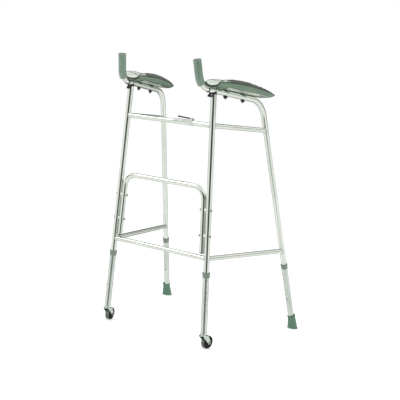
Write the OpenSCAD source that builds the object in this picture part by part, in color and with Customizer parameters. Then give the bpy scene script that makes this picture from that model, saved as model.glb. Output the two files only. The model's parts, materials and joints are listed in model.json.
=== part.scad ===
// Forearm walking frame: two bent side frames joined by crossbars and an
// inverted U brace, castors in front, rubber feet behind, a padded forearm
// gutter and an upright grip on each side. Millimetres, +Z up, walking
// direction -Y, user's right-hand side +X, origin on the floor.

/* [Side frames] */
// Distance from the centre line to a side frame, on the floor at local y = 0
side_x = 313; // [290:1:340]
// Angle by which each side frame opens towards the back
flare = 9.5; // [8:0.5:11]
// Angle by which each side frame leans inwards
tilt = 2.3; // [1.8:0.1:2.8]
// Forward shift that centres the frame on its origin
origin_y = 219; // [210:1:230]
// Place of the front leg on the floor, along the side frame
front_foot_y = -447; // [-455:0.5:-440]
// Forward lean of the front leg
front_lean = 3.7; // [3.2:0.1:4]
// Place of the rear leg on the floor, along the side frame
rear_foot_y = 156; // [150:1:165]
// Rake of the rear leg
rear_rake = 21; // [20.6:0.1:22]
// Height of the top rail's axis above the front foot
rail_z = 983; // [978:0.5:983]
// Rise of the top rail towards the front
rail_rise = 3; // [3:0.1:3.4]
// Radius of the bend between rail and rear leg
rear_bend_r = 95; // [85:5:110]
// Length of rail in front of the front leg
rail_nose = 32; // [30:1:40]

/* [Tubes] */
// Outer diameter of the rails and legs
tube_d = 22.2; // [22:0.1:22.4]
// Outer diameter of the crossbars
bar_d = 19; // [18:0.5:20]
// Outer diameter of the inverted U brace
brace_d = 19; // [18:0.5:19]
// Outer diameter of the handle tubes
handle_d = 19; // [18.6:0.1:19.2]
// Outer diameter of the lower leg sleeves
sleeve_d = 25.4; // [25.3:0.1:25.6]
// Wall of every tube
wall = 1.2; // [1:0.1:1.2]

/* [Crossbars] */
// Height of the upper bars
upper_z = 855; // [845:5:870]
// Height of the lower bars
lower_z = 354; // [350:1:358]
// Height of the U brace's top
brace_top_z = 621.5; // [600:0.5:650]
// Height of the U brace's lower ends
brace_foot_z = 374; // [373:1:380]
// Bend radius of the U brace
brace_bend_r = 50; // [40:5:60]
// Distance between the axes of a front leg and the brace beside it
brace_gap = 24; // [23.5:0.1:25]
// Heights of the brace bolts
brace_bolt_z = [439, 537];

/* [Leg adjustment] */
// Adjustment holes in each sleeve
hole_count = 6; // [4:1:6]
// Distance between adjustment holes
hole_pitch = 24; // [20:1:24]
// Snap button's place along a front leg
front_button_w = 156; // [154:1:158]
// Snap button's place along a rear leg
rear_button_w = 150; // [145:1:155]
// Middle of the collar along a front leg
front_collar_w = 292; // [291:1:300]
// Middle of the collar along a rear leg
rear_collar_w = 306; // [300:1:312]
// Height of a collar
collar_h = 20; // [16:1:20]
// Length of inner tube below the snap button
tube_tail = 28; // [24:1:30]
// Diameter of a snap button
button_d = 6.4; // [6:0.1:6.6]
// Direction of the front buttons, turned outwards from straight ahead
front_button_turn = 55; // [45:5:65]

/* [Castors and feet] */
// Castor wheel diameter
wheel_d = 51; // [48:1:51]
// Castor wheel width
wheel_w = 20; // [18:1:20]
// Distance of the wheel's axle behind the swivel axis
trail = 27; // [25:1:29]
// Sleeve's lower end at the castor, along the front leg
castor_w = 64; // [64:1:68]
// Diameter of the castor's stem
stem_d = 10; // [9:0.5:11]
// Diameter of a rubber foot on the floor
foot_d = 46; // [42:1:50]
// Diameter of a rubber foot's mouth
foot_mouth_d = 32; // [31:1:34]
// Height of a rubber foot along the leg
foot_h = 66; // [60:1:70]

/* [Handles] */
// Bend radius of the handle tube
handle_bend_r = 60; // [55:1:65]
// Forward lean of the grip
handle_lean = 16.5; // [15:0.5:20]
// Straight length above the handle's bend
handle_top = 56; // [54:1:75]
// Length of handle tube held in the rail
handle_insert = 90; // [85:1:95]
// Outer diameter of the grip
grip_d = 30; // [28:0.5:33]
// Part of the handle's bend that the grip covers, in degrees
grip_sweep = 31; // [25:1:40]

/* [Gutters] */
// Middle of the gutter along the side frame
gutter_y = -338; // [-342:1:-334]
// Height of the gutter's underside at its middle
gutter_z = 988.6; // [988.6:0.1:990]
// Rise of the gutter towards the front
gutter_pitch = 2.5; // [2.4:0.1:2.8]
// Length of the gutter
gutter_len = 375; // [360:5:380]
// Greatest width of the gutter
gutter_w = 92; // [86:1:98]
// Height of the shell's rim at the middle
gutter_h = 27; // [26:1:34]
// Thickness of the shell
shell_t = 3; // [3:0.1:3.4]
// Thickness of the pad
pad_t = 8; // [6:1:10]
// Fore and aft travel of the gutter each way
gutter_travel = 15; // [10:1:15]
// Places of the gutter bolts along the gutter
gutter_bolt_y = [-103, 2];

/* [Crossbar clip] */
// Pivot of the clip's lever, to the right of the middle
clip_x = 105; // [95:1:110]
// Length of the lever
lever_len = 60; // [50:1:62]

/* [Hidden] */
$fn = 48;
right = 1;
left = -1;
metal = "gainsboro";
dark = [0.12, 0.13, 0.12];
green = [0.36, 0.47, 0.39];
run_fit = 0.05;
hair = 0.05;
lap = 0.5;
slack = 0.3;
tube_r = tube_d / 2;
bar_r = bar_d / 2;
brace_r = brace_d / 2;
handle_r = handle_d / 2;
sleeve_r = sleeve_d / 2;
button_r = button_d / 2;

// front leg in the side plane: [y, z] where it meets the rail's axis
rail_p = [front_foot_y - rail_z * tan(front_lean), rail_z];
// where the rail's and the rear leg's axes would cross, as lengths along each
cross_t = (cos(rail_rise) * rail_z - sin(rail_rise) * (rear_foot_y - rail_p[0]))
    / cos(rear_rake + rail_rise);
corner = [rear_foot_y - cross_t * sin(rear_rake), cross_t * cos(rear_rake)];
rear_turn = 90 - rear_rake - rail_rise;
rear_tangent = rear_bend_r * tan(rear_turn / 2);
rail_back = [corner[0] - rear_tangent * cos(rail_rise), corner[1] + rear_tangent * sin(rail_rise)];
rear_centre = [rail_back[0] - rear_bend_r * sin(rail_rise),
    rail_back[1] - rear_bend_r * cos(rail_rise)];
rail_front = [rail_p[0] - rail_nose * cos(rail_rise), rail_p[1] + rail_nose * sin(rail_rise)];
rail_len = norm(rail_back - rail_front);
rear_leg_top = cross_t - rear_tangent;

// a point of the right-hand side frame, from [outwards, along, up]
function side_point(p) =
    let (x = p[0] * cos(tilt) - p[2] * sin(tilt))
    [side_x + x * cos(flare) + p[1] * sin(flare),
        origin_y - x * sin(flare) + p[1] * cos(flare),
        p[0] * sin(tilt) + p[2] * cos(tilt)];
function front_at(z) = [0, front_foot_y - z * tan(front_lean), z];
function front_along(w) = front_at(w * cos(front_lean));

// the plane that holds both front legs
leg_low = side_point(front_at(0));
leg_high = side_point(front_at(1000));
plane_lean = atan((leg_low[1] - leg_high[1]) / leg_high[2]);
leg_in = atan((leg_low[0] - leg_high[0]) * cos(plane_lean) / leg_high[2]);
brace_top_v = brace_top_z / cos(plane_lean);
brace_foot_v = brace_foot_z / cos(plane_lean);
brace_turn = 90 - leg_in;
brace_tangent = brace_bend_r * tan(brace_turn / 2);
brace_x = leg_low[0] - brace_top_v * tan(leg_in) - brace_gap / cos(leg_in);

// handle path in the side plane
handle_out = 2;
handle_turn = 90 - rail_rise - handle_lean;
bend_start = [rail_front[0] - handle_out * cos(rail_rise), rail_front[1] + handle_out * sin(rail_rise)];
handle_centre = [bend_start[0] + handle_bend_r * sin(rail_rise),
    bend_start[1] + handle_bend_r * cos(rail_rise)];
bend_end = [handle_centre[0] - handle_bend_r * cos(handle_lean),
    handle_centre[1] - handle_bend_r * sin(handle_lean)];

// castor stack heights
axle_z = wheel_d / 2;
crown_z = wheel_d + 1.5;
crown_t = 2.5;
race_h = 4;
socket_len = 40;
socket_mid = castor_w + socket_len / 2 - 2;
castor_p = side_point(front_along(socket_mid));
axle_r = 3;
hub_r = 17;
arm_x = wheel_w / 2 + 1.5;
arm_t = 2;
bolt_r = 3;
bolt_hole_r = 3.2;
plate_t = 2;
plate_y = -128;
plate_len = 250;
screw_out = 20;
cradle_h = 5;
saddle_drop = 7;
cradle_t = 1.7;
spring_r = 8.6;
spring_t = 0.8;
button_out = 15.6;

module on_side(s) {
    mirror([s < 0 ? 1 : 0, 0, 0])
        translate([side_x, origin_y, 0]) rotate([0, 0, -flare]) rotate([0, -tilt, 0]) children();
}
module on_front_leg(s) {
    on_side(s) translate([0, front_foot_y, 0]) rotate([front_lean, 0, 0]) children();
}
module on_rear_leg(s) {
    on_side(s) translate([0, rear_foot_y, 0]) rotate([rear_rake, 0, 0]) children();
}
// drawing plane of a side frame: x runs backwards, y runs up
module in_side_plane(s) {
    on_side(s) rotate([90, 0, 90]) children();
}
// drawing plane through both front legs: x runs to the right, y runs up
module in_front_plane() {
    translate([0, leg_low[1], 0]) rotate([plane_lean, 0, 0]) rotate([90, 0, 0]) children();
}
module on_gutter(s) {
    on_side(s) translate([0, gutter_y, gutter_z]) rotate([-gutter_pitch, 0, 0]) children();
}
module on_castor(s) {
    mirror([s < 0 ? 1 : 0, 0, 0])
        translate([castor_p[0], castor_p[1], 0]) rotate([0, 0, -flare]) children();
}
module on_thumb_screw(s) {
    in_side_plane(s)
        translate([rail_p[0] - screw_out * cos(rail_rise), rail_p[1] + screw_out * sin(rail_rise), 0])
        rotate([0, 0, -rail_rise]) rotate([90, 0, 0]) children();
}

// straight length of tube, with a lap into the bend at either end; bore 0 is solid
module straight(p, heading, length, r, bore = 0, before = 0, after = 0) {
    translate([p[0], p[1], 0]) rotate([0, 0, heading]) rotate([0, 90, 0]) translate([0, 0, -before])
        difference() {
            cylinder(h = length + before + after, r = r);
            if (bore > 0) translate([0, 0, -1]) cylinder(h = length + before + after + 2, r = bore);
        }
}
// bend; its wall is a hair thinner, so that the straights lap over its ends cleanly
module arc(c, bend_r, from, turn, r, bore = 0) {
    translate([c[0], c[1], 0]) rotate([0, 0, from]) rotate_extrude(angle = turn, $fn = 96)
        translate([bend_r, 0]) difference() {
            circle(r = r - hair);
            if (bore > 0) circle(r = bore + hair);
        }
}
module pipe(length, r) {
    difference() {
        cylinder(h = length, r = r);
        translate([0, 0, -1]) cylinder(h = length + 2, r = r - wall);
    }
}
// radial hole along -Y, through one wall or both
module cross_hole(w, r, both) {
    translate([0, both ? 20 : 0, w]) rotate([90, 0, 0]) cylinder(h = both ? 40 : 20, r = r);
}

// ---- side frames ----
module side_run(r, bore) {
    tail = rear_button_w - tube_tail;
    leg_p = [rear_foot_y - tail * sin(rear_rake), tail * cos(rear_rake)];
    straight(rail_front, -rail_rise, rail_len, r, bore, after = lap);
    arc(rear_centre, rear_bend_r, rear_rake, rear_turn, r, bore);
    straight(leg_p, 90 + rear_rake, rear_leg_top - tail, r, bore, after = lap);
}
module side_tube(s) {
    color(metal) difference() {
        in_side_plane(s) side_run(tube_r, tube_r - wall);
        on_gutter(s) for (y = gutter_bolt_y)
            translate([0, y, -50]) cylinder(h = 50, r = bolt_hole_r);
        on_thumb_screw(s) cylinder(h = 20, r = bolt_r + run_fit);
        on_rear_leg(s) cross_hole(rear_button_w, button_r + run_fit, false);
    }
}
saddle_h = 14;
module front_leg(s) {
    low = front_button_w - tube_tail;
    high = rail_z / cos(front_lean) - saddle_h;
    color(metal) difference() {
        on_front_leg(s) translate([0, 0, low]) pipe(high - low, tube_r);
        on_front_leg(s) rotate([0, 0, front_button_turn])
            cross_hole(front_button_w, button_r + run_fit, true);
        brace_bolt_holes(s);
    }
}
module leg_saddles() {
    top = rail_z / cos(front_lean);
    color(dark) for (s = [right, left]) difference() {
        on_front_leg(s) translate([0, 0, top - saddle_h]) cylinder(h = saddle_h - 2, r = tube_r + 0.5);
        in_side_plane(s) straight(rail_front, -rail_rise, rail_len, tube_r);
    }
}

// ---- crossbars ----
module front_bar(z) {
    p = side_point(front_at(z));
    color(metal) difference() {
        translate([-p[0], p[1], p[2]]) rotate([0, 90, 0]) pipe(2 * p[0], bar_r);
        for (s = [right, left]) on_front_leg(s) cylinder(h = 1000, r = tube_r);
        for (s = [right, left]) on_side(s) translate(front_at(z)) rotate([-90, 0, 0])
            cylinder(h = 40, r = bar_r + hair);
    }
}
module side_bars(z) {
    front = front_at(z)[1];
    back = rear_foot_y - z * tan(rear_rake);
    color(metal) for (s = [right, left]) difference() {
        on_side(s) translate(front_at(z)) rotate([-90, 0, 0]) pipe(back - front, bar_r);
        on_front_leg(s) cylinder(h = 1000, r = tube_r);
        on_rear_leg(s) cylinder(h = 1000, r = tube_r);
    }
}

// ---- inverted U brace ----
brace_leg_len = (brace_top_v - brace_foot_v) / cos(leg_in) - brace_tangent;
module brace_run(r, bore = 0) {
    span = brace_x - brace_tangent;
    leg_p = [brace_x + brace_tangent * sin(leg_in), brace_top_v - brace_tangent * cos(leg_in)];
    straight([-span, brace_top_v], 0, 2 * span, r, bore, lap, lap);
    for (s = [0, 1]) mirror([s, 0, 0]) {
        arc([span, brace_top_v - brace_bend_r], brace_bend_r, leg_in, brace_turn, r, bore);
        straight(leg_p, leg_in - 90, brace_leg_len, r, bore, lap);
    }
}
// axis of a brace bolt, +z pointing outwards from the brace leg's axis
module on_brace_bolt(s, z) {
    v = z / cos(plane_lean);
    x = leg_low[0] - v * tan(leg_in) - brace_gap / cos(leg_in);
    mirror([s < 0 ? 1 : 0, 0, 0]) in_front_plane() translate([x, v, 0]) rotate([0, 0, leg_in])
        rotate([0, 90, 0]) children();
}
module brace_bolt_holes(s) {
    for (z = brace_bolt_z) on_brace_bolt(s, z)
        translate([0, 0, -20]) cylinder(h = 80, r = bolt_hole_r);
}
module u_brace() {
    color(metal) difference() {
        in_front_plane() brace_run(brace_r, brace_r - wall);
        for (s = [right, left]) brace_bolt_holes(s);
    }
}
module u_brace_plugs() {
    low = brace_x + brace_tangent * sin(leg_in) + brace_leg_len * sin(leg_in);
    color(dark) for (s = [right, left]) mirror([s < 0 ? 1 : 0, 0, 0]) in_front_plane()
        translate([low, brace_foot_v, 0]) rotate([0, 0, leg_in]) rotate([90, 0, 0]) {
            cylinder(h = 4, r1 = brace_r, r2 = brace_r - 2);
            translate([0, 0, -12]) cylinder(h = 12.5, r = brace_r - wall);
        }
}
module dome_head(r, h) {
    intersection() {
        cylinder(h = h, r = r);
        translate([0, 0, h - (r * r + h * h) / (2 * h)]) sphere(r = (r * r + h * h) / (2 * h));
    }
}
module u_brace_fixings() {
    outer = brace_gap + tube_r;
    color("silver") for (s = [right, left]) for (z = brace_bolt_z) on_brace_bolt(s, z) {
        translate([0, 0, -brace_r - 5]) cylinder(h = outer + brace_r + 5.2, r = bolt_r);
        translate([0, 0, outer]) dome_head(6, 4);
        translate([0, 0, -brace_r - 5.5]) difference() {
            cylinder(h = 5.5, r = 5.8, $fn = 6);
            translate([0, 0, -1]) cylinder(h = 8, r = bolt_r + run_fit);
        }
    }
}
module u_brace_spacers() {
    color(dark) for (s = [right, left]) for (z = brace_bolt_z) difference() {
        on_brace_bolt(s, z) cylinder(h = brace_gap, r = 6.5);
        on_front_leg(s) cylinder(h = 1000, r = tube_r);
        in_front_plane() brace_run(brace_r);
        brace_bolt_holes(s);
    }
}

// ---- clip on the upper front bar ----
clip_p = side_point(front_at(upper_z));
clip_t = 2;
pivot_h = 15.6;
pivot_r = 1.5;
lever_w = 7;
module on_clip() {
    translate([clip_x, clip_p[1], clip_p[2]]) children();
}
module crossbar_clip() {
    color("whitesmoke") on_clip() {
        difference() {
            union() {
                translate([-78, 0, 0]) rotate([0, 90, 0]) cylinder(h = 85, r = bar_r + clip_t);
                for (y = [-6, 4]) translate([-4, y, 0]) cube([9, 2, pivot_h + 3]);
            }
            translate([-80, 0, 0]) rotate([0, 90, 0]) cylinder(h = 90, r = bar_r);
            translate([-80, -20, -20]) cube([66, 40, 23]);
        }
        translate([0, 6, pivot_h]) rotate([90, 0, 0]) cylinder(h = 12, r = pivot_r);
    }
}
module clip_lever() {
    color(dark) on_clip() translate([0, 0, pivot_h]) rotate([0, 4, 0]) difference() {
        union() {
            rotate([90, 0, 0]) cylinder(h = lever_w, r = 3, center = true);
            translate([-lever_len, -lever_w / 2, -2.4]) cube([lever_len, lever_w, 4.8]);
            translate([-lever_len, 0, 0]) rotate([90, 0, 0]) cylinder(h = lever_w, r = 3.2, center = true);
        }
        rotate([90, 0, 0]) cylinder(h = 20, r = pivot_r + run_fit, center = true);
    }
}

// ---- handles ----
module handle_run(r, bore = 0) {
    inside = [bend_start[0] + handle_insert * cos(rail_rise),
        bend_start[1] - handle_insert * sin(rail_rise)];
    straight(inside, 180 - rail_rise, handle_insert, r, bore, after = lap);
    arc(handle_centre, handle_bend_r, 180 + handle_lean, handle_turn, r, bore);
    straight(bend_end, 90 + handle_lean, handle_top, r, bore, before = lap);
}
module handle_tube(s) {
    color(metal) in_side_plane(s) handle_run(handle_r, handle_r - wall);
}
module grip(s) {
    cap = 4;
    color(green) in_side_plane(s) difference() {
        union() {
            arc(handle_centre, handle_bend_r, 180 + handle_lean, grip_sweep, grip_d / 2);
            straight(bend_end, 90 + handle_lean, handle_top + cap, grip_d / 2, before = lap);
        }
        handle_run(handle_r);
    }
}
module thumb_screw(s) {
    color(dark) on_thumb_screw(s) {
        translate([0, 0, handle_r + slack]) cylinder(h = 10, r = bolt_r);
        translate([0, 0, tube_r + 2]) cylinder(h = 6, r1 = 4, r2 = 5);
        translate([0, 0, tube_r + 8]) cylinder(h = 7, r1 = 5, r2 = 6.5);
        for (a = [0, 180]) rotate([0, 0, a]) translate([0, -1.5, tube_r + 7]) cube([10, 3, 8]);
    }
}

// ---- forearm gutters ----
// shape along the gutter, from 0 at the front lip to 1 at the rear tip
stations = 20;
shell_end = 0.985;
section_points = 12;
function station(k) = shell_end * k / stations;
function gutter_at(t) = gutter_len * (t - 0.5);
function half_width(t) =
    let (front = 0.84 + 0.16 * sin(90 * min(1, t / 0.4)), k = max(0, (t - 0.4) / 0.6))
    gutter_w / 2 * front * (0.13 + 0.87 * sqrt(max(0, 1 - pow(k, 2.6))));
function rim_h(t) = gutter_h * (0.62 + 0.38 * sin(180 * pow(t, 0.8)));
function keel_h(t) = 14 * pow(max(0, (t - 0.86) / 0.14), 1.4);
// height of the pad above the rim
function pad_rise(t) = 4.5 + 10 * sin(180 * pow(t, 0.58));
// half a section: sunk and narrowed by inset, raised above the rim by rise
function section(t, inset, rise, back) = [for (i = [0 : section_points])
    let (u = (back ? -1 : 1) * (2 * i / section_points - 1),
        w = max(2, half_width(t) - inset),
        low = keel_h(t) + inset,
        high = rim_h(t) + rise)
    [w * sin(90 * u), gutter_at(t), low + (high - low) * pow(1 - cos(90 * u), 1.3)]];
module trough(inset, thick, first, last, proud = false) {
    ring = 2 * (section_points + 1);
    points = [for (k = [first : last]) let (t = station(k), rise = proud ? pad_rise(t) : 0)
        each concat(section(t, inset, rise, false), section(t, inset + thick, rise, true))];
    sides = [for (k = [0 : last - first - 1]) for (j = [0 : ring - 1])
        let (a = k * ring + j, b = k * ring + (j + 1) % ring)
        each [[a, b, b + ring], [a, b + ring, a + ring]]];
    ends = [for (e = [0, last - first]) for (j = [0 : section_points - 1])
        let (o = e * ring, a = o + j, b = a + 1, c = o + ring - 2 - j, d = c + 1)
        each e == 0 ? [[a, c, b], [a, d, c]] : [[a, b, c], [a, c, d]]];
    polyhedron(points = points, faces = concat(sides, ends), convexity = 6);
}
module slot(length, r, h) {
    for (y = [-1, 1]) translate([0, y * length / 2, 0]) cylinder(h = h, r = r);
    translate([-r, -length / 2, 0]) cube([2 * r, length, h]);
}
module gutter_shell(s) {
    color(green) on_gutter(s) difference() {
        trough(0, shell_t, 0, stations);
        for (y = gutter_bolt_y) translate([0, y, -1]) slot(2 * gutter_travel, 7, 6);
    }
}
module gutter_pad(s) {
    color("lightslategray") on_gutter(s) trough(shell_t + slack, pad_t, 0, stations - 1, proud = true);
}
module gutter_bracket(s) {
    color(metal) on_gutter(s) difference() {
        union() {
            translate([-15, plate_y, -plate_t]) cube([30, plate_len, plate_t - 0.05]);
            intersection() {
                trough(-cradle_t - 0.1, cradle_t, 3, stations - 3);
                translate([-40, plate_y, -plate_t]) cube([80, plate_len, plate_t + cradle_h]);
            }
        }
        for (y = gutter_bolt_y)
            translate([0, y, -plate_t - 1]) slot(2 * gutter_travel, bolt_r + slack, plate_t + 2);
    }
}
module gutter_saddles() {
    color(green) for (s = [right, left]) for (y = gutter_bolt_y) difference() {
        on_gutter(s) translate([-13.5, y - 9, -plate_t - slack - saddle_drop]) cube([27, 18, saddle_drop]);
        in_side_plane(s) straight(rail_front, -rail_rise, rail_len, tube_r);
        on_gutter(s) translate([0, y, -50]) cylinder(h = 60, r = bolt_hole_r);
    }
}
// from the gutter's base down to the underside of the rail, along a bolt at y
rail_pitch = rail_rise - gutter_pitch;
function rail_depth(y) = tube_r / cos(rail_pitch) + cos(rail_rise) / cos(rail_pitch)
    * (gutter_z - y * sin(gutter_pitch) - rail_z
    + (gutter_y + y * cos(gutter_pitch) - rail_p[0]) * tan(rail_rise));
nut_r = 7;
nut_h = 8.5;
nut_gap = nut_r * tan(rail_pitch) + 0.1;
module gutter_bolts() {
    color("silver") for (s = [right, left]) on_gutter(s) for (y = gutter_bolt_y) {
        reach = rail_depth(y) + nut_gap + nut_h + 3;
        translate([0, y, -reach]) cylinder(h = reach + 1, r = bolt_r);
        translate([0, y, slack]) cylinder(h = 2.5, r = 6);
    }
}
module wing_nut(s, i) {
    y = gutter_bolt_y[i];
    color(dark) on_gutter(s) translate([0, y, -rail_depth(y) - nut_gap]) difference() {
        union() {
            translate([0, 0, -3]) cylinder(h = 3, r = nut_r);
            translate([0, 0, -nut_h]) cylinder(h = nut_h - 2, r1 = 4.8, r2 = 5.6);
            for (a = [0, 180]) rotate([0, 0, a + 90]) hull() {
                translate([3, -1.6, -7]) cube([1, 3.2, 5]);
                translate([9.5, 1.3, -3.2]) rotate([90, 0, 0]) cylinder(h = 2.6, r = 2.8, $fn = 32);
            }
        }
        translate([0, 0, -20]) cylinder(h = 30, r = bolt_r + run_fit);
    }
}

// ---- lower legs ----
module holes(first, turn, both) {
    for (i = [0 : hole_count - 1]) rotate([0, 0, turn])
        cross_hole(first + i * hole_pitch, button_r + slack, both);
}
module sleeve_front(s) {
    top = front_collar_w + collar_h / 2 - 5;
    color(metal) on_front_leg(s) difference() {
        translate([0, 0, castor_w]) pipe(top - castor_w, sleeve_r);
        holes(front_button_w, front_button_turn, true);
    }
}
foot_floor = 12;
module sleeve_rear(s) {
    top = rear_collar_w + collar_h / 2 - 5;
    color(metal) on_rear_leg(s) difference() {
        translate([0, 0, foot_floor]) pipe(top - foot_floor, sleeve_r);
        holes(rear_button_w, 0, false);
    }
}
module collar(mid) {
    skirt = collar_h - 5;
    color(green) translate([0, 0, mid - collar_h / 2]) difference() {
        cylinder(h = collar_h, r1 = 13.8, r2 = 15);
        translate([0, 0, -1]) cylinder(h = skirt + 1, r = sleeve_r);
        cylinder(h = collar_h + 1, r = tube_r + run_fit);
    }
}
module castor_socket(s) {
    color(dark) difference() {
        on_front_leg(s) union() {
            translate([0, 0, castor_w - 3]) cylinder(h = 3, r = sleeve_r);
            translate([0, 0, castor_w - 1]) cylinder(h = socket_len + 1, r = sleeve_r - wall);
        }
        on_castor(s) translate([0, 0, 40]) cylinder(h = 80, r = stem_d / 2 + run_fit);
    }
}
module rubber_foot(s) {
    p = side_point([0, rear_foot_y, 0]);
    color(green) difference() {
        hull() {
            translate([s * p[0], p[1], 0]) cylinder(h = 5, r = foot_d / 2);
            on_rear_leg(s) translate([0, 0, foot_h - 22]) cylinder(h = 22, r = foot_mouth_d / 2);
        }
        on_rear_leg(s) translate([0, 0, foot_floor]) cylinder(h = foot_h, r = sleeve_r);
    }
}

// ---- castors ----
module castor_fork(s) {
    stem_top = crown_z + crown_t + 43;
    color("silver") on_castor(s) {
        difference() {
            union() {
                translate([0, 0, crown_z]) cylinder(h = crown_t, r = arm_x + arm_t);
                translate([-arm_x - arm_t, 0, crown_z]) cube([2 * (arm_x + arm_t), 17, crown_t]);
                for (x = [-arm_x - arm_t, arm_x]) translate([x, 0, 0]) rotate([90, 0, 90])
                    linear_extrude(height = arm_t) fork_arm();
            }
            translate([-50, trail, axle_z]) rotate([0, 90, 0]) cylinder(h = 100, r = axle_r + 0.05);
        }
        translate([0, 0, crown_z + crown_t - 0.5]) cylinder(h = race_h + 0.5, r1 = 14, r2 = 12);
        translate([0, 0, crown_z]) cylinder(h = stem_top - crown_z, r = stem_d / 2);
    }
}
module fork_arm() {
    polygon([[-10, crown_z + crown_t], [-8, crown_z - 3], [trail - 6, axle_z - 3],
        [trail + 6.5, axle_z + 2.4], [17, crown_z + crown_t]]);
    translate([trail, axle_z]) circle(r = 7);
}
module castor_axle(s) {
    half = arm_x + arm_t;
    color("dimgray") on_castor(s) translate([0, trail, axle_z]) rotate([0, 90, 0]) {
        cylinder(h = 2 * half + 0.2, r = axle_r, center = true);
        translate([0, 0, half]) dome_head(4.5, 2.2);
        mirror([0, 0, 1]) translate([0, 0, half]) dome_head(4.5, 2.2);
    }
}
module castor_hub(s) {
    color(dark) on_castor(s) translate([0, trail, axle_z]) rotate([0, 90, 0]) difference() {
        union() {
            cylinder(h = wheel_w - 4, r = hub_r, center = true);
            cylinder(h = wheel_w + 2, r = 6, center = true);
        }
        cylinder(h = 60, r = axle_r + run_fit, center = true);
    }
}
module castor_tyre(s) {
    shoulder = 3;
    color([0.08, 0.09, 0.08]) on_castor(s) translate([0, trail, axle_z]) rotate([0, 90, 0])
        rotate_extrude($fn = 96) polygon([[hub_r, -wheel_w / 2 + 2], [hub_r + 2, -wheel_w / 2],
            [axle_z - shoulder, -wheel_w / 2], [axle_z, -wheel_w / 2 + shoulder],
            [axle_z, wheel_w / 2 - shoulder], [axle_z - shoulder, wheel_w / 2],
            [hub_r + 2, wheel_w / 2], [hub_r, wheel_w / 2 - 2]]);
}

// ---- snap buttons ----
module spring_clip(w) {
    leaf = 50;
    for (x = [-spring_r, spring_r - spring_t]) translate([x, -3.5, w - 5]) cube([spring_t, 7, leaf + 5]);
    translate([0, 0, w + leaf]) rotate([90, 0, 0]) difference() {
        cylinder(h = 7, r = spring_r, center = true);
        cylinder(h = 8, r = spring_r - spring_t, center = true);
        translate([-10, -20, -5]) cube([20, 20, 10]);
    }
}
module snap_springs() {
    color("silver") for (s = [right, left]) {
        on_front_leg(s) rotate([0, 0, front_button_turn + 90]) spring_clip(front_button_w);
        on_rear_leg(s) rotate([0, 0, 90]) spring_clip(rear_button_w);
    }
}
module snap_button(w) {
    translate([0, 0, w]) rotate([90, 0, 0]) {
        translate([0, 0, spring_r + 0.1]) cylinder(h = button_out - button_r - spring_r - 0.1, r = button_r);
        translate([0, 0, button_out - button_r]) intersection() {
            sphere(r = button_r);
            translate([0, 0, -0.01]) cylinder(h = button_r + 1, r = button_r + 1);
        }
    }
}
module front_button(s, turn) {
    color("silver") on_front_leg(s) rotate([0, 0, turn]) snap_button(front_button_w);
}
module rear_button(s) {
    color("silver") on_rear_leg(s) snap_button(rear_button_w);
}

side_tube(right);  // side_tube_right
side_tube(left);  // side_tube_left
front_leg(right);  // front_leg_right
front_leg(left);  // front_leg_left
front_bar(upper_z);  // front_upper_bar
front_bar(lower_z);  // front_lower_bar
side_bars(upper_z);  // upper_side_bars
side_bars(lower_z);  // lower_side_bars
u_brace();
u_brace_plugs();
u_brace_fixings();
u_brace_spacers();
leg_saddles();
crossbar_clip();
clip_lever();
gutter_saddles();
gutter_bolts();
snap_springs();
handle_tube(right);  // handle_tube_right
handle_tube(left);  // handle_tube_left
grip(right);  // grip_right
grip(left);  // grip_left
thumb_screw(right);  // thumb_screw_right
thumb_screw(left);  // thumb_screw_left
gutter_shell(right);  // gutter_shell_right
gutter_shell(left);  // gutter_shell_left
gutter_pad(right);  // gutter_pad_right
gutter_pad(left);  // gutter_pad_left
gutter_bracket(right);  // gutter_bracket_right
gutter_bracket(left);  // gutter_bracket_left
wing_nut(right, 0);  // wing_nut_front_right
wing_nut(right, 1);  // wing_nut_rear_right
wing_nut(left, 0);  // wing_nut_front_left
wing_nut(left, 1);  // wing_nut_rear_left
sleeve_front(right);  // sleeve_front_right
sleeve_rear(right);  // sleeve_rear_right
sleeve_front(left);  // sleeve_front_left
sleeve_rear(left);  // sleeve_rear_left
on_front_leg(right) collar(front_collar_w);  // collar_front_right
on_rear_leg(right) collar(rear_collar_w);  // collar_rear_right
on_front_leg(left) collar(front_collar_w);  // collar_front_left
on_rear_leg(left) collar(rear_collar_w);  // collar_rear_left
castor_socket(right);  // castor_socket_right
castor_socket(left);  // castor_socket_left
rubber_foot(right);  // rubber_foot_right
rubber_foot(left);  // rubber_foot_left
castor_fork(right);  // castor_fork_right
castor_fork(left);  // castor_fork_left
castor_hub(right);  // castor_hub_right
castor_hub(left);  // castor_hub_left
castor_tyre(right);  // castor_tyre_right
castor_tyre(left);  // castor_tyre_left
castor_axle(right);  // castor_axle_right
castor_axle(left);  // castor_axle_left
front_button(right, front_button_turn);  // snap_button_front_right_out
front_button(right, front_button_turn + 180);  // snap_button_front_right_in
rear_button(right);  // snap_button_rear_right
front_button(left, front_button_turn);  // snap_button_front_left_out
front_button(left, front_button_turn + 180);  // snap_button_front_left_in
rear_button(left);  // snap_button_rear_left
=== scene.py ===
import json
import math

import bmesh
import bpy
from mathutils import Matrix, Vector
from mathutils.bvhtree import BVHTree


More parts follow.
